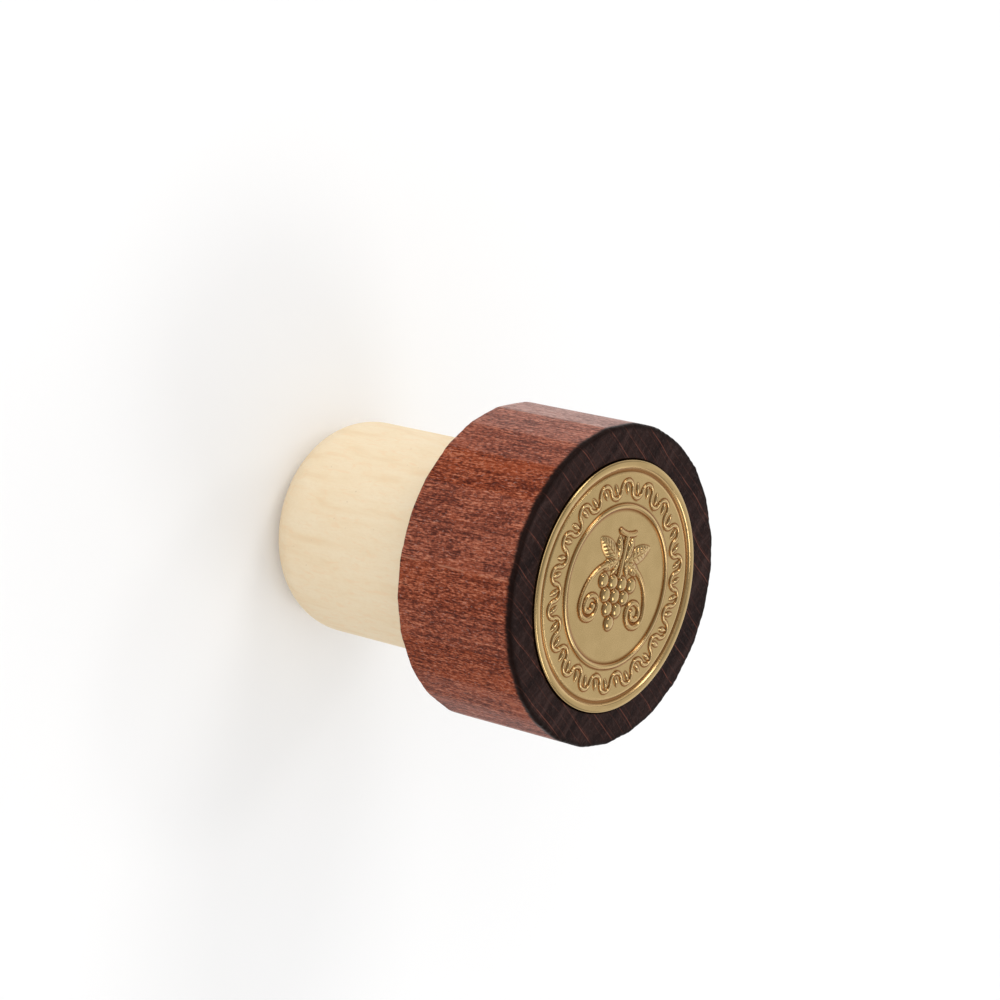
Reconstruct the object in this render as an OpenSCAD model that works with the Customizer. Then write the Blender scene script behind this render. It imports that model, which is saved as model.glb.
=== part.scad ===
// Bar-top bottle stopper: a turned wooden cap, a plug shank glued into its
// underside and a struck metal medallion let into its top face.
// Millimetres. +Z runs up the axis; z = 0 is the underside of the cap, the
// plane that sits on the lip of the bottle. +Y is the top of the medallion.

/* [Cap] */
// Diameter of the cap over the ridges of its side
cap_d = 30; // [27:0.5:40]
// Height of the cap from the lip of the bottle to its top face
cap_h = 13.2; // [9:0.1:22]
// Round on the top edge of the cap
cap_top_round = 0.3; // [0.1:0.05:0.8]
// Chamfer on the lower edge of the cap
cap_low_chamfer = 0.15; // [0.05:0.05:0.6]
// Number of flats that the moulder leaves round the side
flat_count = 25; // [12:1:36]
// Direction of the first flat, seen from above
flat_start = 178; // [0:1:360]
// Deepest of the flats, cut in from the full round
flat_deep = 0.13; // [0.05:0.01:0.3]

/* [Shank] */
// Diameter of the plug that fills the neck of the bottle
shank_d = 20.6; // [16:0.1:23]
// Length of the plug below the lip of the bottle
shank_len = 21.6; // [14:0.1:32]
// Round on the end of the plug
shank_end_round = 4.25; // [1:0.25:6.5]
// Depth of the plug inside the cap
plug_depth = 5; // [2:0.5:6]
// Draft of the plug inside the cap, taken off its radius at the top
plug_draft = 0.15; // [0.05:0.05:0.4]
// Chamfer on the top edge of the plug
plug_chamfer = 0.4; // [0.1:0.1:1]

/* [Medallion] */
// Diameter of the medallion
medal_d = 23.4; // [20:0.1:25]
// Thickness of the medallion up to its flat band
medal_t = 1.4; // [1:0.1:2]
// Height of the flat band above the top face of the cap
medal_proud = 0.12; // [0:0.02:0.4]
// Width from the edge of the medallion to the middle of the groove
rim_w = 0.97; // [0.8:0.01:1.4]
// Rise of the crowned rim above the flat band
rim_rise = 0.14; // [0.1:0.02:0.3]
// Radius of the crown of the rim
rim_round = 1; // [0.8:0.1:3]
// Width of the groove inside the rim
groove_w = 0.5; // [0.3:0.05:0.7]
// Depth of the groove below the flat band
groove_depth = 0.1; // [0.05:0.01:0.2]
// Width of the flat band between the groove and the bead
band_w = 2.8; // [2.2:0.1:3.4]
// Width of the bead round the middle field
bead_w = 0.5; // [0.3:0.05:0.8]
// Height of the bead above the flat band
bead_h = 0.15; // [0.08:0.01:0.25]

/* [Border of the medallion] */
// Bends of the vine that runs round the flat band, an even number
border_bends = 36; // [24:2:44]
// Gap between the vine and each edge of the flat band
border_margin = 0.5; // [0.35:0.05:0.7]
// Width of the vine's stem
vine_w = 0.26; // [0.16:0.02:0.3]
// Height of the vine's stem above the flat band
vine_h = 0.12; // [0.06:0.01:0.2]
// Width of the leaf in each bend
sprig_w = 0.5; // [0.3:0.05:0.6]
// Height of the leaf's midrib above the flat band
sprig_h = 0.16; // [0.08:0.01:0.2]

/* [Motif of the medallion] */
// Gap between the motif and the bead round it
motif_margin = 1; // [0.6:0.1:2.5]
// Rows of berries in the bunch
berry_rows = 4; // [3:1:5]
// Height of the berries above the field
berry_h = 0.25; // [0.1:0.01:0.35]
// Height of the midribs of the leaves above the field
leaf_h = 0.22; // [0.1:0.01:0.3]
// Width of the stem and tendrils
tendril_w = 0.45; // [0.3:0.05:0.6]
// Height of the stem and tendrils above the field
tendril_h = 0.2; // [0.1:0.01:0.25]

/* [Fits] */
// Gap for glue between the plug and the wall of its socket
plug_gap = 0.1; // [0.05:0.05:0.3]
// Gap between the medallion and the wall of its recess
medal_gap = 0.1; // [0.05:0.05:0.3]

/* [Hidden] */

$fn = 96;
// Overlap that carries a cutting solid past the face it opens
cut = 1;

cap_r = cap_d / 2;
shank_r = shank_d / 2;
socket_r = shank_r + plug_gap;
medal_r = medal_d / 2;
recess_r = medal_r + medal_gap;
recess_depth = medal_t - medal_proud;
recess_z = cap_h - recess_depth;

// Depths of five flats in a row as shares of the deepest; the row repeats
flat_row = [1, 0.85, 0.6, 0.7, 0.4];
flat_step = 360 / flat_count;

groove_mid = medal_r - rim_w;
rim_edge = groove_mid + groove_w / 2;
rim_mid = (medal_r + rim_edge) / 2;
bead_mid = groove_mid - groove_w / 2 - band_w - bead_w / 2;
field_r = bead_mid - bead_w / 2;
band_mid = (groove_mid - groove_w / 2 + bead_mid + bead_w / 2) / 2;
// Depth of all raised ornament below the face that it rises from
foot = 0.4;

// Border: each bend of the vine is an arc over a chord of the band's middle
bend_step = 360 / border_bends;
bend_half = band_mid * sin(bend_step / 2);
bend_rise = band_w / 2 - border_margin - vine_w / 2;
knot_r = 0.65 * vine_w;
sprig_len = 1.7 * bend_rise;
sprig_turn = 20;

// Motif: its layout is in shares of the radius that it fills
motif_r = field_r - motif_margin;
berry_pitch = 0.231 * motif_r;
berry_r = 0.52 * berry_pitch;
row_pitch = berry_pitch * sin(60);
bunch_top = 0.057 * motif_r;
stem_low = 0.16 * motif_r;
stem_high = 0.79 * motif_r;
cane_r = 0.5 * motif_r;
cane_half = 22;

// Leaf: its foot, then the direction and the length of each lobe
leaf_foot = [0.085 * motif_r, 0.38 * motif_r];
leaf_lobes = [[28, 0.66], [78, 0.44], [-20, 0.47], [-64, 0.29]];
lobe_slim = 0.42;
lobe_lap = 0.04 * motif_r;

// Tendril: a sweep that runs into a curl of half turns, each tighter by a step
curl_at = [0.577 * motif_r, -0.341 * motif_r];
curl_r = 0.211 * motif_r;
curl_step = 0.057 * motif_r;
curl_turns = 3;
curl_end_r = 0.7 * tendril_w;
sweep_r = 0.683 * motif_r;
sweep_turn = 66;

// Radius of the circle that shows a cap of this width and height
function cap_radius(width, height) = (width * width / 4 + height * height) / (2 * height);

// Outline of the cap: its round with a ring of shallow flats cut into it
module cap_outline() {
    difference() {
        circle(cap_r);
        for (i = [0:flat_count - 1])
            rotate(flat_start + i * flat_step)
                translate([cap_r - flat_deep * flat_row[i % len(flat_row)], -cap_r / 2])
                    square([cap_r, cap_r]);
    }
}

// Half section of the cap's outer form, with its rounded and chamfered edges
module cap_section() {
    difference() {
        union() {
            square([cap_r - cap_top_round, cap_h]);
            square([cap_r, cap_h - cap_top_round]);
            translate([cap_r - cap_top_round, cap_h - cap_top_round])
                circle(cap_top_round);
        }
        translate([cap_r, 0])
            rotate(45)
                square(cap_low_chamfer * sqrt(2), center = true);
    }
}

// Turned wooden cap with its socket for the plug and recess for the medallion
module wooden_cap() {
    color([0.42, 0.17, 0.11])
        difference() {
            intersection() {
                rotate_extrude() cap_section();
                linear_extrude(cap_h) cap_outline();
            }
            translate([0, 0, -cut]) cylinder(r = socket_r, h = plug_depth + cut);
            translate([0, 0, recess_z]) cylinder(r = recess_r, h = recess_depth + cut);
        }
}

// Half section of the medallion, standing on z = 0
module medallion_section() {
    bead_round = cap_radius(bead_w, bead_h);
    groove_round = cap_radius(groove_w, groove_depth);
    difference() {
        union() {
            square([medal_r, medal_t]);
            intersection() {
                translate([groove_mid, 0]) square([rim_w, medal_t + rim_rise]);
                translate([rim_mid, medal_t + rim_rise - rim_round]) circle(rim_round);
            }
            intersection() {
                translate([bead_mid - bead_w / 2, 0]) square([bead_w, medal_t + bead_h]);
                translate([bead_mid, medal_t + bead_h - bead_round]) circle(bead_round);
            }
        }
        translate([groove_mid, medal_t - groove_depth + groove_round]) circle(groove_round);
    }
}

// Ball that shows above z = 0 as a dome of this radius and height; its poles
// lie level, so that none is at the top of the dome
module dome(radius, height) {
    ball_r = cap_radius(2 * radius, height);
    translate([0, 0, height - ball_r])
        rotate([90, 0, 0]) sphere(ball_r);
}

// Leaf or lobe that runs from the origin along X, with a sharp midrib where
// two balls cross
module blade(length, width, height) {
    side = (length * length - width * width) / (4 * width);
    down = (length * length / 4 - height * height) / (2 * height);
    ball_r = sqrt(pow(side + width / 2, 2) + down * down);
    intersection_for(s = [-1, 1])
        translate([length / 2, s * side, -down]) sphere(ball_r);
}

// Rounded line of the motif, bent round the origin from one angle to another
module line_arc(radius, from, to) {
    line_r = cap_radius(tendril_w, tendril_h);
    rotate(from)
        rotate_extrude(angle = to - from)
            translate([radius, tendril_h - line_r]) circle(line_r);
}

// Ornament cut off at its foot, so that it is rooted in the disc and no deeper
module rooted(radius) {
    intersection() {
        children();
        translate([0, 0, -foot]) cylinder(r = radius, h = 2 * foot);
    }
}

// One bend of the vine's stem, bulging towards +X over a chord on the Y axis
module bend() {
    bend_r = cap_radius(2 * bend_half, bend_rise);
    intersection() {
        translate([bend_rise - bend_r, 0])
            difference() {
                circle(bend_r + vine_w / 2);
                circle(bend_r - vine_w / 2);
            }
        translate([0, -band_w]) square(2 * band_w);
    }
}

// Running vine on the flat band: a waved stem with a knot where it crosses the
// middle of the band, and a leaf in each bend
module border() {
    translate([0, 0, -foot])
        linear_extrude(foot + vine_h)
            for (i = [0:border_bends - 1])
                rotate(i * bend_step) {
                    translate([band_mid * cos(bend_step / 2), 0])
                        rotate(i % 2 * 180) bend();
                    rotate(bend_step / 2)
                        translate([band_mid, 0]) circle(knot_r);
                }
    for (i = [0:border_bends - 1])
        rotate(i * bend_step)
            translate([band_mid, 0])
                rotate(sprig_turn)
                    translate([-sprig_len / 2, 0])
                        blade(sprig_len, min(sprig_w, sprig_len / 2), sprig_h);
}

// Bunch of berries in rows, one fewer in each row down
module bunch() {
    for (row = [0:berry_rows - 1], k = [0:berry_rows - 1 - row])
        translate([
            (k - (berry_rows - 1 - row) / 2) * berry_pitch,
            bunch_top - row * row_pitch
        ])
            dome(berry_r, berry_h);
}

// Leaf and tendril on the right of the bunch
module leaf_and_tendril() {
    translate(leaf_foot)
        for (lobe = leaf_lobes)
            rotate(lobe[0])
                translate([-lobe_lap, 0])
                    blade(lobe[1] * motif_r, lobe_slim * lobe[1] * motif_r, leaf_h);
    translate(curl_at + [curl_r - sweep_r, 0])
        line_arc(sweep_r, 0, sweep_turn);
    for (i = [0:curl_turns - 1])
        translate(curl_at - [i % 2 * curl_step, 0])
            line_arc(curl_r - i * curl_step, i % 2 == 0 ? -180 : 0, i % 2 == 0 ? 0 : 180);
    translate(curl_at - [curl_r - (curl_turns - 1) * curl_step, 0])
        dome(curl_end_r, tendril_h);
}

// Bunch of berries under a stem, between two leaves and two tendrils
module motif() {
    line_r = cap_radius(tendril_w, tendril_h);
    bunch();
    for (side = [0, 1])
        mirror([side, 0]) leaf_and_tendril();
    translate([0, stem_low, tendril_h - line_r])
        rotate([-90, 0, 0]) cylinder(r = line_r, h = stem_high - stem_low);
    translate([0, stem_high + cane_r])
        line_arc(cane_r, -90 - cane_half, -90 + cane_half);
}

// Struck metal medallion, seated on the floor of its recess
module medallion() {
    color([0.80, 0.64, 0.36])
        translate([0, 0, recess_z]) {
            rotate_extrude() medallion_section();
            translate([0, 0, medal_t]) {
                rooted(groove_mid) border();
                rooted(field_r) motif();
            }
        }
}

// Half section of the plug, from its rounded end to its top inside the cap
module shank_section() {
    end_z = -shank_len;
    top_r = shank_r - plug_draft;
    translate([0, end_z + shank_end_round])
        square([shank_r, shank_len - shank_end_round]);
    translate([0, end_z])
        square([shank_r - shank_end_round, shank_len]);
    intersection() {
        translate([shank_r - shank_end_round, end_z + shank_end_round])
            circle(shank_end_round);
        translate([0, end_z])
            square([shank_r, shank_end_round]);
    }
    polygon([
        [0, 0],
        [shank_r, 0],
        [top_r, plug_depth - plug_chamfer],
        [top_r - plug_chamfer, plug_depth],
        [0, plug_depth]
    ]);
}

// Moulded plug shank, glued into the socket of the cap
module shank() {
    color([0.93, 0.87, 0.74])
        rotate_extrude() shank_section();
}

wooden_cap();
medallion();
shank();
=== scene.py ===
import math

import bpy
import numpy as np
from mathutils import Matrix, Vector


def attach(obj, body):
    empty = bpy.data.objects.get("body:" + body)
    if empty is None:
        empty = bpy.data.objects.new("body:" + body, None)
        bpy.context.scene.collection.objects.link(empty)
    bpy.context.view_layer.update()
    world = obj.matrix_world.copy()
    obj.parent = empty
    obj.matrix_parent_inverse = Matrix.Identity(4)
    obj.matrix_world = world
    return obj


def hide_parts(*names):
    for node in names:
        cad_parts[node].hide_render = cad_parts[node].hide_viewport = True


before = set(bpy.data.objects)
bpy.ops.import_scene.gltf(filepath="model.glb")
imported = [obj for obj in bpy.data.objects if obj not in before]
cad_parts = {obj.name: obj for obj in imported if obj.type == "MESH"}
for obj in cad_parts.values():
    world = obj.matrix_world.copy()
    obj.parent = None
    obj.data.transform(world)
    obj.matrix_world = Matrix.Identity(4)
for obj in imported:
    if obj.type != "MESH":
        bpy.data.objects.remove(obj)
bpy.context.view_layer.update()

MM = 0.001
seeded = np.random.default_rng(7)

# ---------------------------------------------------------------- sizes, as in the CAD source
CAP_R = 15.0
CAP_H = 13.2
FLAT_COUNT = 25
FLAT_START = math.radians(178)
FLAT_STEP = math.tau / FLAT_COUNT
FLAT_DEEP = 0.13
FLAT_ROW = (1.0, 0.85, 0.6, 0.7, 0.4)

SHANK_R = 10.3
SHANK_LEN = 21.6
SHANK_END_ROUND = 4.25
PLUG_DEPTH = 5.0
PLUG_DRAFT = 0.15
SOCKET_R = SHANK_R + 0.1

MEDAL_R = 11.7
MEDAL_T = 1.4
BAND_Z = CAP_H + 0.12
MEDAL_BOTTOM = BAND_Z - MEDAL_T
RECESS_R = MEDAL_R + 0.1
RIM_RISE = 0.14
RIM_ROUND = 1.0
GROOVE_MID = MEDAL_R - 0.97
GROOVE_W = 0.5
GROOVE_DEPTH = 0.1
RIM_MID = (MEDAL_R + GROOVE_MID + GROOVE_W / 2) / 2
BAND_W = 2.8
BEAD_W = 0.5
BEAD_H = 0.15
BEAD_MID = GROOVE_MID - GROOVE_W / 2 - BAND_W - BEAD_W / 2
FIELD_R = BEAD_MID - BEAD_W / 2
BAND_MID = BEAD_MID + BEAD_W / 2 + BAND_W / 2

def cap_radius(width, height):
    """Radius of the circle that shows a cap of this width and height."""
    return (width * width / 4 + height * height) / (2 * height)


def smooth(low, high, value):
    """0 below low, 1 above high, and an even slope between them."""
    t = np.clip((value - low) / (high - low), 0, 1)
    return t * t * (3 - 2 * t)


# ---------------------------------------------------------------- relief of the medallion
def dome(x, y, radius, height):
    """Height of a ball's cap of this radius and height, and below 0 outside it."""
    ball = cap_radius(2 * radius, height)
    return np.sqrt(np.maximum(ball * ball - x * x - y * y, 0)) - (ball - height)


def blade(along, across, length, width, height):
    """Height of a leaf from 0 to length, with a sharp midrib where two balls cross."""
    side = (length * length - width * width) / (4 * width)
    down = (length * length / 4 - height * height) / (2 * height)
    ball2 = (side + width / 2) ** 2 + down * down
    reach2 = (along - length / 2) ** 2 + (np.abs(across) + side) ** 2
    return np.sqrt(np.maximum(ball2 - reach2, 0)) - down


def rounded_line(distance, width, height):
    """Height of a round-backed line at a distance from its middle, and below 0 outside it."""
    line = cap_radius(width, height)
    return np.sqrt(np.maximum(line * line - distance * distance, 0)) - (line - height)


# A die leaves raised forms with steeper sides and flatter tops than balls have
STRIKE = 1.7


def struck(height, full):
    """Height of a rounded form made fuller below its unchanged top."""
    share = np.clip(height / full, 0, 1)
    return np.where(height > 0, full * (1 - (1 - share) ** STRIKE), height)


def arc_distance(x, y, centre, radius, start, end):
    """Distance to an arc from start to end, in degrees, with start below end."""
    dx, dy = x - centre[0], y - centre[1]
    middle, half = (start + end) / 2, (end - start) / 2
    off = (np.degrees(np.arctan2(dy, dx)) - middle + 180) % 360 - 180
    tips = [np.hypot(dx - radius * math.cos(a), dy - radius * math.sin(a))
            for a in (math.radians(start), math.radians(end))]
    return np.where(np.abs(off) <= half, np.abs(np.hypot(dx, dy) - radius), np.minimum(*tips))


BORDER_BENDS = 36
BORDER_MARGIN = 0.5
VINE_W = 0.26
VINE_H = 0.12
SPRIG_W = 0.5
SPRIG_H = 0.16
BEND_STEP = math.tau / BORDER_BENDS
BEND_HALF = BAND_MID * math.sin(BEND_STEP / 2)
BEND_RISE = BAND_W / 2 - BORDER_MARGIN - VINE_W / 2
BEND_R = cap_radius(2 * BEND_HALF, BEND_RISE)
KNOT_R = 0.65 * VINE_W
SPRIG_LEN = 1.7 * BEND_RISE
SPRIG_TURN = math.radians(20)
VINE_SOFT = 0.07
# Distance of what is on the other side, which is too far away to raise anything
FAR = CAP_R


def vine(inside):
    """Height of the vine this far inside its outline."""
    return VINE_H * smooth(-VINE_SOFT, VINE_SOFT, inside)


def border(x, y):
    """Height of the running vine above the flat band."""
    height = np.zeros_like(x)
    cosine, sine = math.cos(SPRIG_TURN), math.sin(SPRIG_TURN)
    nearest = np.round(np.arctan2(y, x) / BEND_STEP)
    for cell in (nearest - 1, nearest, nearest + 1):
        turn = cell * BEND_STEP
        out = x * np.cos(turn) + y * np.sin(turn)
        across = y * np.cos(turn) - x * np.sin(turn)
        way = np.where(cell % 2 == 0, 1, -1)
        u, v = (out - BAND_MID * math.cos(BEND_STEP / 2)) * way, across * way
        stem = np.where(u >= 0, np.abs(np.hypot(u - (BEND_RISE - BEND_R), v) - BEND_R), FAR)
        knot = np.hypot(x - BAND_MID * np.cos(turn + BEND_STEP / 2),
                        y - BAND_MID * np.sin(turn + BEND_STEP / 2))
        p, q = out - BAND_MID, across
        sprig = blade(p * cosine + q * sine + SPRIG_LEN / 2, q * cosine - p * sine,
                      SPRIG_LEN, SPRIG_W, SPRIG_H)
        for part in (vine(VINE_W / 2 - stem), vine(KNOT_R - knot), sprig):
            height = np.maximum(height, part)
    return height


MOTIF_R = FIELD_R - 1.0
BERRY_ROWS = 4
BERRY_H = 0.25
LEAF_H = 0.22
TENDRIL_W = 0.45
TENDRIL_H = 0.2
BERRY_PITCH = 0.231 * MOTIF_R
BERRY_R = 0.52 * BERRY_PITCH
ROW_PITCH = BERRY_PITCH * math.sin(math.radians(60))
BUNCH_TOP = 0.057 * MOTIF_R
STEM_LOW = 0.16 * MOTIF_R
STEM_HIGH = 0.79 * MOTIF_R
CANE_R = 0.5 * MOTIF_R
CANE_HALF = 22
LEAF_FOOT = (0.085 * MOTIF_R, 0.38 * MOTIF_R)
LEAF_LOBES = ((28, 0.66), (78, 0.44), (-20, 0.47), (-64, 0.29))
LOBE_SLIM = 0.42
LOBE_LAP = 0.04 * MOTIF_R
VEIN_STEP = 0.55
VEIN_LEAN = 0.8
VEIN_DEEP = 0.04
VEIN_SPAN = (0.03, 0.12)
CURL_AT = (0.577 * MOTIF_R, -0.341 * MOTIF_R)
CURL_R = 0.211 * MOTIF_R
CURL_STEP = 0.057 * MOTIF_R
CURL_TURNS = 3
CURL_END_R = 0.7 * TENDRIL_W
SWEEP_R = 0.683 * MOTIF_R
SWEEP_TURN = 66


def motif(x, y):
    """Height of the bunch, leaves and tendrils above the field."""
    height = np.zeros_like(x)
    for row in range(BERRY_ROWS):
        count = BERRY_ROWS - row
        for k in range(count):
            at = ((k - (count - 1) / 2) * BERRY_PITCH, BUNCH_TOP - row * ROW_PITCH)
            berry = struck(dome(x - at[0], y - at[1], BERRY_R, BERRY_H), BERRY_H)
            height = np.maximum(height, berry)
    # the leaves and tendrils are alike on both sides
    ax = np.abs(x)
    for angle, share in LEAF_LOBES:
        turn, length = math.radians(angle), share * MOTIF_R
        p, q = ax - LEAF_FOOT[0], y - LEAF_FOOT[1]
        along = p * math.cos(turn) + q * math.sin(turn) + LOBE_LAP
        across = q * math.cos(turn) - p * math.sin(turn)
        leaf = struck(blade(along, across, length, LOBE_SLIM * length, LEAF_H), LEAF_H)
        wave = np.cos(math.tau * (along - VEIN_LEAN * np.abs(across)) / VEIN_STEP)
        vein = np.maximum(smooth(0.5, 1, wave), 1 - smooth(*VEIN_SPAN, np.abs(across)))
        height = np.maximum(height, leaf - VEIN_DEEP * vein * smooth(*VEIN_SPAN, leaf))
    sweep_at = (CURL_AT[0] + CURL_R - SWEEP_R, CURL_AT[1])
    lines = [arc_distance(ax, y, sweep_at, SWEEP_R, 0, SWEEP_TURN)]
    for i in range(CURL_TURNS):
        centre = (CURL_AT[0] - i % 2 * CURL_STEP, CURL_AT[1])
        start = 0 if i % 2 else -180
        lines.append(arc_distance(ax, y, centre, CURL_R - i * CURL_STEP, start, start + 180))
    cane_at = (0, STEM_HIGH + CANE_R)
    lines.append(arc_distance(x, y, cane_at, CANE_R, -90 - CANE_HALF, -90 + CANE_HALF))
    lines.append(np.hypot(x, y - np.clip(y, STEM_LOW, STEM_HIGH)))
    for distance in lines:
        line = struck(rounded_line(distance, TENDRIL_W, TENDRIL_H), TENDRIL_H)
        height = np.maximum(height, line)
    tip_x = CURL_AT[0] - CURL_R + (CURL_TURNS - 1) * CURL_STEP
    tip = struck(dome(ax - tip_x, y - CURL_AT[1], CURL_END_R, TENDRIL_H), TENDRIL_H)
    return np.maximum(height, tip)


def medal_height(x, y):
    """Height of the medallion's face above its flat band."""
    r = np.hypot(x, y)
    rim = RIM_RISE - RIM_ROUND + np.sqrt(np.maximum(RIM_ROUND ** 2 - (r - RIM_MID) ** 2, 0))
    groove = -rounded_line(np.abs(r - GROOVE_MID), GROOVE_W, GROOVE_DEPTH)
    bead = rounded_line(np.abs(r - BEAD_MID), BEAD_W, BEAD_H)
    height = np.where(r > GROOVE_MID + GROOVE_W / 2, rim, np.minimum(groove, 0))
    height = np.where(np.abs(r - BEAD_MID) < BEAD_W / 2, np.maximum(bead, 0), height)
    on_band = (r > BEAD_MID + BEAD_W / 2) & (r < GROOVE_MID - GROOVE_W / 2)
    height = np.where(on_band, np.maximum(border(x, y), 0), height)
    return np.where(r < FIELD_R, np.maximum(motif(x, y), 0), height)


# ---------------------------------------------------------------- tones of the relief
TONE_REACH = 0.15
TONE_SIDES = 6
HOLLOW_SPAN = (0.001, 0.022)
RAISED_SPAN = (0.02, 0.09)
CONVEX_SPAN = (0.006, 0.04)
STEEP_SPAN = (0.15, 0.7)
STEEP_SHARE = 0.5
# Painted shade is cut back on the rim outside the groove, so that its highlights stay pale
RIM_LESS_SHADE_SPAN = (GROOVE_MID + 0.05, GROOVE_MID + 0.2)
RIM_SHADE_CUT = 0.55


def relief_tones(x, y):
    """How much painted shade, how raised and how much painted highlight each point of the face
    gets, each from 0 to 1.
    Painted shade fills hollows and, in part, steep sides, in place of shadow and dark
    reflections; the rim outside the groove gets less of it; convex points get the painted
    highlight."""
    height = medal_height(x, y)
    angles = np.arange(TONE_SIDES) * math.tau / TONE_SIDES
    around = [medal_height(x + TONE_REACH * math.cos(a), y + TONE_REACH * math.sin(a))
              for a in angles]
    hollow = np.mean(around, axis=0) - height
    spread = TONE_SIDES / 2 * TONE_REACH
    slope_x = sum(h * math.cos(a) for h, a in zip(around, angles)) / spread
    slope_y = sum(h * math.sin(a) for h, a in zip(around, angles)) / spread
    steep = smooth(*STEEP_SPAN, np.hypot(slope_x, slope_y))
    painted_shade = np.maximum(smooth(*HOLLOW_SPAN, hollow), STEEP_SHARE * steep)
    rim_shade_kept = 1 - RIM_SHADE_CUT * smooth(*RIM_LESS_SHADE_SPAN, np.hypot(x, y))
    return np.c_[painted_shade * rim_shade_kept, smooth(*RAISED_SPAN, height), smooth(*CONVEX_SPAN, -hollow)]


# ---------------------------------------------------------------- meshes
TONES = "tones"


def make_object(name, points, faces, material, tones=None):
    """A smooth-shaded mesh object from points in millimetres, with up to three tones for its
    material at each point."""
    mesh = bpy.data.meshes.new(name)
    mesh.from_pydata((np.asarray(points, float) * MM).tolist(), [], faces)
    mesh.shade_smooth()
    if tones is not None:
        layer = mesh.color_attributes.new(TONES, "FLOAT_COLOR", "POINT")
        layer.data.foreach_set("color", np.c_[tones, np.ones(len(tones))].ravel())
    mesh.materials.append(material)
    mesh.update()
    made = bpy.data.objects.new(name, mesh)
    bpy.context.scene.collection.objects.link(made)
    return made


def join_rings(low, low_count, high, high_count):
    """Faces between two rings of points, the second further along the path than the first."""
    if low_count == high_count:
        n = low_count
        return [(low + i, high + i, high + (i + 1) % n, low + (i + 1) % n) for i in range(n)]
    faces, i, j = [], 0, 0
    while i < low_count or j < high_count:
        a, b = low + i % low_count, high + j % high_count
        if j >= high_count or (i < low_count and (i + 1) * high_count <= (j + 1) * low_count):
            faces.append((a, b, low + (i + 1) % low_count))
            i += 1
        else:
            faces.append((a, b, high + (j + 1) % high_count))
            j += 1
    return faces


def turned(rings):
    """Points and faces of a closed form from its rings of points, from its middle at the top,
    out and down its outside, to its middle at the bottom."""
    starts = np.cumsum([0] + [len(points) for points in rings])
    faces = [tuple(range(len(rings[0])))]
    for k in range(1, len(rings)):
        faces += join_rings(starts[k - 1], len(rings[k - 1]), starts[k], len(rings[k]))
    faces.append(tuple(range(starts[-1] - 1, starts[-2] - 1, -1)))
    return np.vstack(rings), [tuple(int(i) for i in face) for face in faces]


def azimuths(count):
    return np.arange(count) * math.tau / count


def ring(radius, height, count):
    """Ring of points; radius and height are numbers or one value for each azimuth."""
    azimuth = azimuths(count)
    return np.c_[radius * np.cos(azimuth), radius * np.sin(azimuth), height * np.ones(count)]


def hub(height):
    """Small ring in the middle of a flat face."""
    return ring(1, height, 24)


# ---------------------------------------------------------------- medallion
EDGE_SOFT = 0.12
ZONE_LAP = 0.02
FIRST_RING_R = 0.06
LEAST_POINTS = 8


def build_medallion(material):
    """Medallion with its struck face, a softened edge and a flat back."""
    field_in, field_out = MOTIF_R + 0.1, FIELD_R - ZONE_LAP
    bead_out = BEAD_MID + BEAD_W / 2 + ZONE_LAP
    vine_in, vine_out = BAND_MID - BEND_RISE - VINE_W, BAND_MID + BEND_RISE + VINE_W
    groove_in, face_out = GROOVE_MID - GROOVE_W / 2 - ZONE_LAP, MEDAL_R - EDGE_SOFT
    # each zone's inner and outer radius, and how far apart its points are outward and round
    zones = (
        (FIRST_RING_R, field_in, 0.068, 0.068),
        (field_in, field_out, 0.3, 0.4),
        (field_out, bead_out, 0.045, 0.16),
        (bead_out, vine_in, 0.2, 0.4),
        (vine_in, vine_out, 0.062, 0.062),
        (vine_out, groove_in, 0.2, 0.4),
        (groove_in, face_out, 0.04, 0.16),
    )
    rings = []
    for inner, outer, step, pitch in zones:
        steps = max(2, round((outer - inner) / step))
        for radius in np.linspace(inner, outer, steps, endpoint=False):
            face = ring(radius, 0, max(LEAST_POINTS, round(math.tau * radius / pitch)))
            face[:, 2] = BAND_Z + medal_height(face[:, 0], face[:, 1])
            rings.append(face)
    count = len(rings[-1])
    edge = BAND_Z + float(medal_height(np.array([face_out]), np.array([0.0]))[0])
    for angle in np.radians((0, 30, 60, 90)):
        rings.append(ring(MEDAL_R - EDGE_SOFT * (1 - math.sin(angle)),
                          edge - EDGE_SOFT * (1 - math.cos(angle)), count))
    rings += [ring(MEDAL_R, MEDAL_BOTTOM, count), hub(MEDAL_BOTTOM)]
    points, faces = turned(rings)
    tones = relief_tones(points[:, 0], points[:, 1])
    # the side and the back get the full painted shade of a hollow
    tones[points[:, 2] < BAND_Z - GROOVE_DEPTH] = (1, 0, 0)
    return make_object("medallion_relief", points, faces, material, tones)


# ---------------------------------------------------------------- cap
RIDGE_SOFT = 0.04
RIDGE_NEAR = 0.014
ROUND_NEAR = 0.005
FACING = 0.9
# Painted sheen of each flat, in the order of the flats: how much pale reflected light is painted
# into its colour
FLAT_PAINTED_SHEEN = (0.06, 0.02, 0.04, 0.0, 0.03, 0.0, 0.0, 0.0, 0.0, 0.06, 0.04, 0.08, 0.02,
              0.05, 0.03, 0.08, 0.05, 0.1, 0.2, 0.4, 0.55, 0.18, 0.08, 0.0, 0.05)


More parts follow.
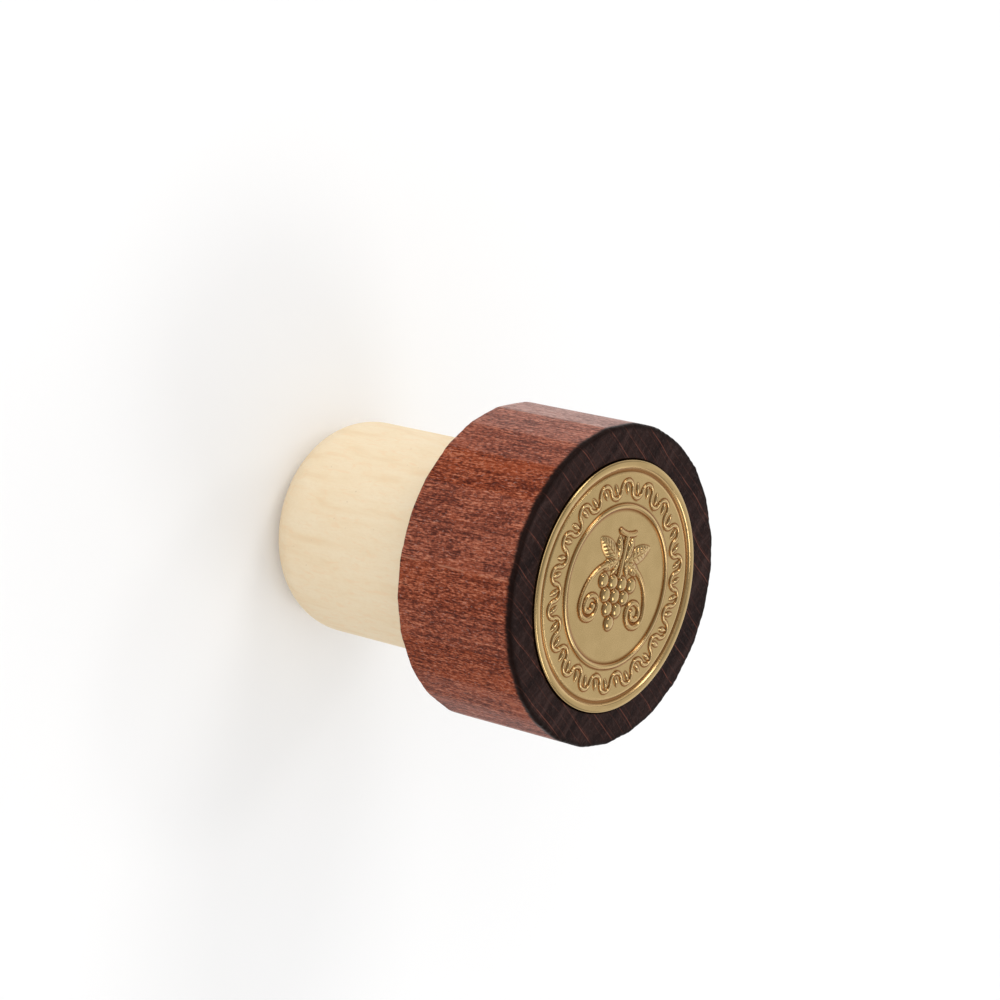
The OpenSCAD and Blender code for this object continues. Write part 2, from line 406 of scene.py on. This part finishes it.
def flatted_side(azimuth):
    """Radius of the cap's side at an azimuth, with its ridges blunted, how near to a ridge
    it is and the painted sheen of the flat that it is on, both from 0 to 1."""
    off = azimuth[:, None] - FLAT_START - np.arange(FLAT_COUNT) * FLAT_STEP
    row = np.array([FLAT_ROW[i % len(FLAT_ROW)] for i in range(FLAT_COUNT)])
    facing = np.cos(off) > FACING
    flats = (CAP_R - FLAT_DEEP * row) / np.where(facing, np.cos(off), 1)
    # a flat that faces elsewhere is put outside the cap, where it cuts nothing
    reach = np.where(facing, flats, CAP_R + 1)
    sheen = np.array(FLAT_PAINTED_SHEEN)[reach.argmin(axis=1)]
    nearest, second = np.sort(reach, axis=1)[:, :2].T
    ridge = (1 - smooth(0, RIDGE_NEAR, second - nearest)) * (nearest < CAP_R + ROUND_NEAR)
    reach = np.c_[reach, np.full(len(azimuth), CAP_R)]
    lowest = reach.min(axis=1)
    share = np.exp((lowest[:, None] - reach) / RIDGE_SOFT).sum(axis=1)
    return lowest - RIDGE_SOFT * np.log(share), ridge, sheen


def waves(azimuth, low, high, terms):
    """Irregular wave round the axis, mostly from -1 to 1, with low to high cycles in a turn."""
    total = np.zeros_like(azimuth)
    for _ in range(terms):
        cycles = int(seeded.integers(low, high))
        total += np.cos(cycles * azimuth + seeded.uniform(0, math.tau))
    return total / math.sqrt(2 * terms) / 1.5


def worn_edge(azimuth, mean, swings, limits):
    """Rounding of an edge at each azimuth. A swing is its size, the fewest and most cycles
    in a turn and its number of terms."""
    worn = mean
    for size, low, high, terms in swings:
        worn = worn + size * waves(azimuth, low, high, terms)
    return np.clip(worn, *limits)


CAP_POINTS = 720
CAP_SIDE_RINGS = 84
TOP_WORN = 0.32
TOP_SWINGS = ((0.10, 4, 40, 9), (0.07, 50, 160, 9))
TOP_LIMITS = (0.15, 0.62)
LOW_WORN = 0.2
LOW_SWINGS = ((0.06, 10, 120, 12),)
LOW_LIMITS = (0.08, 0.4)
# The recess's lip is broken, and the top is a hair lower than the solid's
LIP_SOFT = 0.05
TOP_SINK = 0.004
GRAIN_DEEP = 0.03
GRAIN_SWING = (60, 330, 14)
GRAIN_FADE = 12
EDGE_DARK_SPAN = (0.3, 0.65)


def build_cap(material):
    """Cap with worn edges and raised grain on its side, its recess and its socket."""
    azimuth = azimuths(CAP_POINTS)
    limit = flatted_side(azimuth)[0]
    worn = worn_edge(azimuth, TOP_WORN, TOP_SWINGS, TOP_LIMITS)
    low_worn = worn_edge(azimuth, LOW_WORN, LOW_SWINGS, LOW_LIMITS)
    ridges = [waves(azimuth, *GRAIN_SWING) for _ in range(3)]
    # down into the recess and across the top
    path = [(RECESS_R, MEDAL_BOTTOM), (RECESS_R, CAP_H - LIP_SOFT),
            (RECESS_R + LIP_SOFT, CAP_H - TOP_SINK)]
    for share in np.linspace(0.06, 0.9, 12):
        path.append((RECESS_R + share * (limit - worn - RECESS_R), CAP_H - TOP_SINK))
    # round the worn edge and down the side
    for angle in np.radians(np.linspace(0, 90, 9)):
        path.append((limit - worn * (1 - math.sin(angle)),
                     CAP_H - worn * (1 - math.cos(angle)) - TOP_SINK * math.cos(angle)))
    top, bottom = CAP_H - worn, low_worn
    for t in np.linspace(0, 1, CAP_SIDE_RINGS)[1:-1]:
        blend = 0.5 + 0.5 * math.cos(math.pi * t)
        grain = (blend * ridges[0] + (1 - blend) * ridges[1]
                 + math.sin(3 * math.pi * t) * ridges[2] * 0.5)
        fade = min(1, GRAIN_FADE * t, GRAIN_FADE * (1 - t))
        depth = GRAIN_DEEP * (0.5 + 0.5 * grain) * fade
        path.append((limit - depth, top + t * (bottom - top)))
    # round the lower edge, across the underside and up into the socket
    for angle in np.radians(np.linspace(0, 90, 6)):
        path.append((limit - low_worn * (1 - math.cos(angle)), low_worn * (1 - math.sin(angle))))
    path += [(SOCKET_R, 0), (SOCKET_R, PLUG_DEPTH)]
    rings = [ring(radius, height, CAP_POINTS) for radius, height in path]
    points, faces = turned([hub(MEDAL_BOTTOM), *rings, hub(PLUG_DEPTH)])
    r, z = np.hypot(points[:, 0], points[:, 1]), points[:, 2]
    _, ridge, sheen = flatted_side(np.arctan2(points[:, 1], points[:, 0]))
    from_edge = np.hypot(CAP_R - r, CAP_H - z)
    # tones: a ridge's wear, the darker rounded top edge and the flat's painted sheen
    tones = np.c_[ridge * (r > RECESS_R + 1), 1 - smooth(*EDGE_DARK_SPAN, from_edge), sheen]
    return make_object("cap_turned", points, faces, material, tones)


# ---------------------------------------------------------------- plug
SHANK_POINTS = 360
SHANK_RINGS = 40
SHANK_TOP_SOFT = 0.4
SHANK_FLAT_R = 3


def build_shank(material):
    """Plug with a chamfered top inside the cap and a rounded end."""
    top_r = SHANK_R - PLUG_DRAFT
    straight = SHANK_LEN - SHANK_END_ROUND
    path = [(top_r - SHANK_TOP_SOFT, PLUG_DEPTH), (top_r, PLUG_DEPTH - SHANK_TOP_SOFT)]
    for z in np.linspace(0, -straight, SHANK_RINGS, endpoint=False):
        path.append((SHANK_R, z))
    for angle in np.radians(np.linspace(0, 90, SHANK_RINGS)):
        path.append((SHANK_R - SHANK_END_ROUND * (1 - math.cos(angle)),
                     -straight - SHANK_END_ROUND * math.sin(angle)))
    path.append((SHANK_FLAT_R, -SHANK_LEN))
    rings = [ring(radius, height, SHANK_POINTS) for radius, height in path]
    points, faces = turned([hub(PLUG_DEPTH), *rings, hub(-SHANK_LEN)])
    return make_object("plug_moulded", points, faces, material)


# ---------------------------------------------------------------- shader nodes
class Nodes:
    """Shader nodes of a material or a world. Most calls add a node and give back an output."""

    def __init__(self, owner):
        owner.use_nodes = True
        self.nodes = owner.node_tree.nodes
        self.links = owner.node_tree.links

    def put(self, socket, value):
        """Links an output to a socket, or sets the socket's own value."""
        if isinstance(value, bpy.types.NodeSocket):
            self.links.new(value, socket)
        elif socket.type == "RGBA":
            socket.default_value = (*value, 1)
        else:
            socket.default_value = value

    def add(self, kind, output=0, inputs=None, **settings):
        node = self.nodes.new("ShaderNode" + kind)
        for name, value in settings.items():
            setattr(node, name, value)
        for name, value in (inputs or {}).items():
            self.put(node.inputs[name], value)
        return node.outputs[output]

    def math(self, operation, a, b=0.0):
        return self.add("Math", 0, {0: a, 1: b}, operation=operation)

    def times(self, a, b):
        return self.math("MULTIPLY", a, b)

    def plus(self, total, *others):
        for other in others:
            total = self.math("ADD", total, other)
        return total

    def fit(self, value, span, to=(0.0, 1.0), smooth=True):
        """Value with one span brought to another, and clamped."""
        return self.add("MapRange", 0, {
            "Value": value, "From Min": span[0], "From Max": span[1],
            "To Min": to[0], "To Max": to[1],
        }, interpolation_type="SMOOTHSTEP" if smooth else "LINEAR")

    def shown_rays(self):
        """1 for rays that show what they reach: to the camera, through glass and off metal."""
        path = self.add("LightPath").node
        total = path.outputs["Is Camera Ray"]
        for name in ("Is Transmission Ray", "Is Glossy Ray"):
            total = self.math("MAXIMUM", total, path.outputs[name])
        return total


class Paint(Nodes):
    """A new material and the nodes of its look, which sees its place in millimetres."""

    def __init__(self, name):
        self.material = bpy.data.materials.new(name)
        super().__init__(self.material)
        self.surface = self.nodes["Principled BSDF"]
        self.place = self.scaled(self.add("TexCoord", "Object"), (1 / MM, 1 / MM, 1 / MM))

    def tones(self):
        """The three tones that the mesh carries at its points."""
        colour = self.add("Attribute", 0, None, attribute_name=TONES)
        return [self.add("SeparateColor", i, {0: colour}) for i in range(3)]

    def scaled(self, place, scale):
        return self.add("Mapping", 0, {"Vector": place, "Scale": scale})

    def joined(self, x, y):
        return self.add("CombineXYZ", 0, {0: x, 1: y})

    def shifted(self, place, share, reach):
        """Place moved sideways by a noise around its middle value."""
        off = self.times(self.math("SUBTRACT", share, 0.5), reach)
        return self.add("VectorMath", 0, {0: place, 1: self.joined(off, off)}, operation="ADD")

    def cells(self, place):
        """Distance to the nearest of many scattered points."""
        return self.add("TexVoronoi", 0, {"Vector": place, "Scale": 1.0})

    def slits(self, value, scale):
        """Distance to the nearest of many unevenly spaced values."""
        return self.add("TexVoronoi", 0, {"W": value, "Scale": scale},
                        voronoi_dimensions="1D", feature="DISTANCE_TO_EDGE")

    def noise(self, place, scale, detail=2, roughness=0.5, distortion=0.0, along=1):
        """Noise whose scale along the axis is a share of that across it."""
        if along != 1:
            place = self.scaled(place, (1, 1, along))
        return self.add("TexNoise", 0, {"Vector": place, "Scale": scale, "Detail": detail,
                                        "Roughness": roughness, "Distortion": distortion})

    def mix(self, share, a, b):
        """Colour from a to b. The node's sockets 6 and 7 and its output 2 are its colours."""
        return self.add("Mix", 2, {0: share, 6: a, 7: b}, data_type="RGBA")

    def ramp(self, value, stops):
        """Colour at a value between stops, each a position and its colour."""
        output = self.add("ValToRGB", 0, {0: value})
        elements = output.node.color_ramp.elements
        while len(elements) < len(stops):
            elements.new(1.0)
        for element, (position, colour) in zip(elements, stops):
            element.position, element.color = position, (*colour, 1)
        return output

    def bump(self, height, depth, strength):
        self.put(self.surface.inputs["Normal"], self.add("Bump", 0, {
            "Height": height, "Distance": depth * MM, "Strength": strength}))

    def finish(self, **inputs):
        """Sets the surface's inputs, named with _ for each space."""
        for name, value in inputs.items():
            self.put(self.surface.inputs[name.replace("_", " ")], value)
        return self.material


# ---------------------------------------------------------------- gold
GOLD = (0.515, 0.360, 0.158)
GOLD_PALE = (0.555, 0.390, 0.176)
GOLD_PAINTED_HIGHLIGHT = (0.80, 0.57, 0.27)
GOLD_PAINTED_SHADE = (0.250, 0.088, 0.015)
GOLD_ROUGH = (0.26, 0.32)
GOLD_RUBBED = 0.15
SATIN_DEEP = 0.003


def gold_plate():
    """Satin gold plate, with a painted highlight that brightens convex edges, painted shade that
    browns hollows and steep sides, and smoother on top.
    """
    p = Paint("gold_plate")
    hollow, raised, edge = p.tones()
    satin = p.noise(p.place, 7.0, detail=3, roughness=0.65)
    cloud = p.noise(p.place, 0.5, detail=3)
    colour = p.mix(p.fit(cloud, (0.35, 0.65)), GOLD, GOLD_PALE)
    # painted highlight: convex points are brightened
    colour = p.mix(edge, colour, GOLD_PAINTED_HIGHLIGHT)
    # painted shade: hollows and steep sides turn brown in place of shadow and dark reflections
    colour = p.mix(hollow, colour, GOLD_PAINTED_SHADE)
    p.bump(satin, SATIN_DEEP, 0.35)
    matt = p.fit(satin, (0.3, 0.7), GOLD_ROUGH, smooth=False)
    rough = p.math("SUBTRACT", matt, p.times(raised, GOLD_RUBBED))
    return p.finish(Base_Color=colour, Metallic=1.0, Roughness=rough)


# ---------------------------------------------------------------- wood
SIDE_STOPS = (
    (0.41, (0.070, 0.012, 0.006)),
    (0.465, (0.150, 0.029, 0.013)),
    (0.505, (0.235, 0.050, 0.021)),
    (0.55, (0.345, 0.084, 0.037)),
    (0.61, (0.500, 0.180, 0.100)),
)
DASH = (0.105, 0.019, 0.009)
LONG_LINE = (0.060, 0.012, 0.007)
WARM_PATCH = (0.300, 0.055, 0.016)
PALE_SPECK = (0.510, 0.280, 0.225)
DARK_SPECK = (0.050, 0.017, 0.013)
PAINTED_SHEEN_COLOUR = (0.600, 0.450, 0.410)
GRAIN_LEAN = (math.radians(2), math.radians(-2), 0)
GRAIN_SWAY = 0.5


def wood_side(p, sheen):
    """Stained beech along the grain: short flecks and fibres over broad patches, with a pale
    painted sheen on some flats.
    """
    lean = p.add("Mapping", 0, {"Vector": p.place, "Rotation": GRAIN_LEAN})
    sway = p.noise(p.scaled(lean, (0.9, 0.9, 0.3)), 1.0)
    grain = p.shifted(lean, sway, GRAIN_SWAY)
    fleck = p.noise(grain, 6.6, roughness=0.6, along=0.33)
    fibre = p.noise(grain, 9.0, detail=3, roughness=0.6, along=0.055)
    vessel = p.noise(grain, 2.4, roughness=0.6, along=0.05)
    speck = p.noise(grain, 5.6, detail=1, along=0.45)
    band = p.noise(grain, 1.1, detail=1, along=0.05)
    long_line = p.math("ABSOLUTE", p.math("SUBTRACT", band, 0.5))
    dash = p.cells(p.scaled(grain, (5.0, 5.0, 1.15)))
    patch = p.noise(p.place, 0.40, detail=3, roughness=0.6, along=0.5)
    tone = p.plus(p.times(fleck, 0.46), p.times(fibre, 0.34), p.times(vessel, 0.20),
                  p.fit(patch, (0.3, 0.7), (-0.022, 0.022)))
    colour = p.ramp(tone, SIDE_STOPS)
    colour = p.mix(p.fit(dash, (0.12, 0.34), (0.50, 0.0)), colour, DASH)
    colour = p.mix(p.fit(long_line, (0.0, 0.012), (0.40, 0.0)), colour, LONG_LINE)
    colour = p.mix(p.fit(patch, (0.52, 0.66), (0.0, 0.35)), colour, WARM_PATCH)
    colour = p.mix(p.fit(speck, (0.60, 0.74), (0.0, 0.32)), colour, PALE_SPECK)
    colour = p.mix(p.fit(speck, (0.28, 0.41), (0.65, 0.0)), colour, DARK_SPECK)
    # painted sheen: pale colour in place of light reflected off the flat, more on lighter grain
    sheen_share = p.times(sheen, p.fit(tone, (0.40, 0.58), (0.35, 0.90)))
    return p.mix(sheen_share, colour, PAINTED_SHEEN_COLOUR), tone


END_STOPS = (
    (0.36, (0.010, 0.004, 0.0035)),
    (0.52, (0.020, 0.0085, 0.0070)),
    (0.66, (0.036, 0.0180, 0.0155)),
)
END_MOTTLE = (0.046, 0.027, 0.024)
END_PORE = (0.006, 0.003, 0.003)
END_RAY = (0.175, 0.055, 0.036)
RAY_LEAN = math.radians(-30)
RAY_WAVE = 0.8
RING_WAVE = 2.5
THIN_RAYS_OFF = 40.0


def wood_end(p, x, y):
    """End grain, which drinks the stain: nearly black, with thin rays across soft rings."""
    cosine, sine = math.cos(RAY_LEAN), math.sin(RAY_LEAN)
    soft = p.noise(p.place, 0.15)
    across = p.plus(p.times(x, -sine), p.times(y, cosine))
    along = p.plus(p.times(x, cosine), p.times(y, sine))
    waved = p.plus(across, p.times(soft, RAY_WAVE))
    breaks = p.fit(p.noise(p.place, 0.8, detail=3, roughness=0.7), (0.36, 0.56), (0.25, 1.0))
    wide = p.fit(p.slits(waved, 0.36), (0.004, 0.022), (0.72, 0.0))
    thin = p.fit(p.slits(p.plus(waved, THIN_RAYS_OFF), 1.0), (0.01, 0.05), (0.22, 0.0))
    rays = p.times(p.math("MAXIMUM", wide, thin), breaks)
    bowed = p.joined(p.plus(along, p.times(soft, RING_WAVE)), p.times(across, 0.06))
    rings = p.noise(bowed, 0.75, detail=3, roughness=0.6)
    mottle = p.noise(p.place, 2.2, detail=4, roughness=0.7)
    pores = p.noise(p.place, 7.0, roughness=0.6)
    colour = p.ramp(rings, END_STOPS)
    colour = p.mix(p.fit(mottle, (0.50, 0.68), (0.0, 0.55)), colour, END_MOTTLE)
    colour = p.mix(p.fit(pores, (0.55, 0.70), (0.0, 0.7)), colour, END_PORE)
    return p.mix(rays, colour, END_RAY), p.plus(mottle, pores)


RAW_WOOD = (0.55, 0.24, 0.15)
EDGE_DARK = (0.009, 0.004, 0.003)
RECESS_PAINTED_SHADE = (0.012, 0.005, 0.004)
SOAK_RAGGED = 0.18
SOAK_SPAN = (CAP_H - 0.85, CAP_H - 0.20)
FULL_SPAN = (CAP_H - 0.30, CAP_H - 0.10)
LOW_SOAK_SPAN = (0.0, 0.16)
RECESS_SHADE_SPAN = (RECESS_R, RECESS_R + 0.06)
WOOD_BUMP = 0.10
WOOD_ROUGH = (0.40, 0.28)
WOOD_SHINE = 0.035


def stained_wood():
    """Beech stained red-brown on its side and nearly black at its ends, worn at its ridges."""
    p = Paint("stained_wood")
    ridge, rounded, sheen = p.tones()
    x, y, z = (p.add("SeparateXYZ", i, {0: p.place}) for i in range(3))
    side, grain = wood_side(p, sheen)
    end, mottle = wood_end(p, x, y)
    # worn ridges let the raw wood show in broken lines
    torn = p.noise(p.scaled(p.place, (2.6, 2.6, 0.5)), 1.0, detail=3, roughness=0.7)
    wear = p.times(ridge, p.fit(torn, (0.44, 0.60), (0.0, 0.65)))
    side = p.mix(wear, side, RAW_WOOD)
    # the stain of the ends soaks a little way down the side, and the rounded edge is darker still
    soak = p.noise(p.place, 2.6, detail=3, roughness=0.6, along=0.4)
    ragged = p.fit(soak, (0.25, 0.75), (-SOAK_RAGGED, SOAK_RAGGED))
    top_stain = p.math("MAXIMUM", p.fit(p.plus(z, ragged), SOAK_SPAN), p.fit(z, FULL_SPAN))
    low_stain = p.fit(p.plus(z, p.times(ragged, 0.5)), LOW_SOAK_SPAN, (1.0, 0.0))
    colour = p.mix(p.math("MAXIMUM", top_stain, low_stain), side, end)
    colour = p.mix(p.times(rounded, 0.8), colour, EDGE_DARK)
    # painted shade: the wood darkens towards the recess round the medallion
    from_axis = p.add("VectorMath", 1, {0: p.joined(x, y)}, operation="LENGTH")
    colour = p.mix(p.fit(from_axis, RECESS_SHADE_SPAN, (0.85, 0.0)), colour, RECESS_PAINTED_SHADE)
    p.bump(p.plus(grain, p.times(mottle, 0.15)), WOOD_BUMP, 0.6)
    rough = p.fit(grain, (0.4, 0.6), WOOD_ROUGH, smooth=False)
    return p.finish(Base_Color=colour, Roughness=rough, Specular_IOR_Level=WOOD_SHINE)


# ---------------------------------------------------------------- foam
FOAM_STOPS = (
    (0.36, (0.885, 0.740, 0.525)),
    (0.54, (0.875, 0.715, 0.490)),
    (0.70, (0.840, 0.655, 0.425)),
)
FOAM_FINE = (0.83, 0.66, 0.44)
FOAM_SMUDGE = (0.870, 0.640, 0.400)
FOAM_SPECK = (0.55, 0.38, 0.22)
FOAM_BUMP = 0.06
FOAM_ROUGH = (0.68, 0.85)
FOAM_SHINE = 0.3


def cork_foam():
    """Moulded foam coloured as cork: even cream, faint streaks along it and small specks."""
    p = Paint("cork_foam")
    streak = p.noise(p.place, 0.8, detail=4, roughness=0.6, distortion=0.4, along=0.2)
    fine = p.noise(p.place, 4.5, detail=3, roughness=0.65, along=0.5)
    smudge = p.noise(p.place, 1.7, detail=4, roughness=0.6, distortion=1.2, along=0.3)
    speck = p.noise(p.place, 2.1, detail=0)
    colour = p.ramp(streak, FOAM_STOPS)
    colour = p.mix(p.fit(fine, (0.42, 0.70), (0.0, 0.30)), colour, FOAM_FINE)
    colour = p.mix(p.fit(smudge, (0.50, 0.72), (0.0, 0.60)), colour, FOAM_SMUDGE)
    colour = p.mix(p.fit(speck, (0.84, 0.88), (0.0, 0.35)), colour, FOAM_SPECK)
    p.bump(p.plus(fine, p.times(streak, 0.5)), FOAM_BUMP, 0.4)
    rough = p.fit(fine, (0.3, 0.7), FOAM_ROUGH, smooth=False)
    return p.finish(Base_Color=colour, Roughness=rough, Specular_IOR_Level=FOAM_SHINE)


# ---------------------------------------------------------------- the object
def place_piece(piece, node):
    """Puts a piece in the place of a solid, which takes the piece's material."""
    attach(piece, "root")
    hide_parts(node)
    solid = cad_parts[node].data
    solid.materials.clear()
    solid.materials.append(piece.data.materials[0])


place_piece(build_cap(stained_wood()), "wooden_cap")
place_piece(build_medallion(gold_plate()), "medallion")
place_piece(build_shank(cork_foam()), "shank")

# ---------------------------------------------------------------- floor
FLOOR_HALF = 3.0
FLOOR_GREY = 0.84
FLOOR_UNEVEN = 0.01
FLOOR_ROUGH = 0.8
FLOOR_LIFT = 0.10


def pale_floor():
    """Matt floor that keeps shadows; where rays show it, it is lifted to white."""
    p = Paint("pale_floor")
    shade = p.mix(p.noise(p.place, 0.02), (FLOOR_GREY - FLOOR_UNEVEN,) * 3,
                  (FLOOR_GREY + FLOOR_UNEVEN,) * 3)
    return p.finish(Base_Color=shade, Roughness=FLOOR_ROUGH, Emission_Color=(1.0, 1.0, 1.0),
                    Emission_Strength=p.times(p.shown_rays(), FLOOR_LIFT))


def build_floor():
    mesh = bpy.data.meshes.new("floor")
    corners = ((-1, -1), (1, -1), (1, 1), (-1, 1))
    mesh.from_pydata([(FLOOR_HALF * x, FLOOR_HALF * y, 0) for x, y in corners], [],
                     [(0, 1, 2, 3)])
    mesh.materials.append(pale_floor())
    floor = bpy.data.objects.new("floor", mesh)
    floor.location.z = -SHANK_LEN * MM
    bpy.context.scene.collection.objects.link(floor)


# ---------------------------------------------------------------- light
WORLD_LIGHT = 0.80
STUDIO_SPAN = (0.30, 0.60)
STUDIO_WALL = 1.0
STUDIO_TOP = 0.40


def build_world():
    """Studio that rays show white round the object and greyer overhead; its light on matt
    surfaces is even."""
    world = bpy.data.worlds.new("studio")
    bpy.context.scene.world = world
    w = Nodes(world)
    upward = w.add("SeparateXYZ", 2, {0: w.add("TexCoord", "Generated")})
    shown = w.fit(upward, STUDIO_SPAN, (STUDIO_WALL, STUDIO_TOP))
    background = w.nodes["Background"]
    w.put(background.inputs["Color"], (1, 1, 1))
    w.put(background.inputs["Strength"],
          w.add("Mix", 0, {0: w.shown_rays(), 2: WORLD_LIGHT, 3: shown}))


LAMP_DISTANCE = 2.0
RATED_DISTANCE = 0.5
# Name, direction from the object, width as a share of the distance, and watts at half a metre
LAMPS = (
    ("key", (-0.055, 0.82, 0.568), 0.36, 0.45),
    ("top", (0.40, -0.34, 0.85), 0.34, 0.27),
    ("glint", (0.30, 0.44, 0.85), 0.15, 0.13),
    ("panel", (0.785, 0, 0.62), 0.5, 0.076),
    ("fill", (-0.85, 0.4, 0.35), 1.0, 0.55),
)


def add_softbox(name, towards, share, watts):
    """Square lamp in a direction from the object, turned to face it."""
    lamp = bpy.data.lights.new(name, "AREA")
    lamp.size = share * LAMP_DISTANCE
    lamp.energy = watts * (LAMP_DISTANCE / RATED_DISTANCE) ** 2
    made = bpy.data.objects.new(name, lamp)
    direction = Vector(towards).normalized()
    made.location = direction * LAMP_DISTANCE
    made.rotation_mode = "QUATERNION"
    made.rotation_quaternion = direction.to_track_quat("Z", "Y")
    bpy.context.scene.collection.objects.link(made)


# ---------------------------------------------------------------- camera
CAMERA_AT = (-234.92, 5.40, 183.56)
CAMERA_ELEVATION = math.radians(38.30)
CAMERA_ROLL = math.radians(102.51)
CAMERA_LENS = 114.96
SENSOR_W = 36
CLIP = (0.01, 20)


def build_camera():
    """Camera at the photograph's angle: it looks along +X and down, rolled on its own axis."""
    back = Vector((-math.cos(CAMERA_ELEVATION), 0, math.sin(CAMERA_ELEVATION)))
    level = Vector((0, -1, 0))
    rise = back.cross(level)
    right = level * math.cos(CAMERA_ROLL) + rise * math.sin(CAMERA_ROLL)
    up = back.cross(right)
    view = bpy.data.cameras.new("camera")
    view.lens, view.sensor_width = CAMERA_LENS, SENSOR_W
    view.clip_start, view.clip_end = CLIP
    camera = bpy.data.objects.new("camera", view)
    turn = Matrix((right, up, back)).transposed().to_4x4()
    camera.matrix_world = Matrix.Translation(Vector(CAMERA_AT) * MM) @ turn
    bpy.context.scene.collection.objects.link(camera)
    bpy.context.scene.camera = camera


build_floor()
build_world()
for lamp in LAMPS:
    add_softbox(*lamp)
build_camera()
bpy.context.scene.view_settings.view_transform = "Standard"
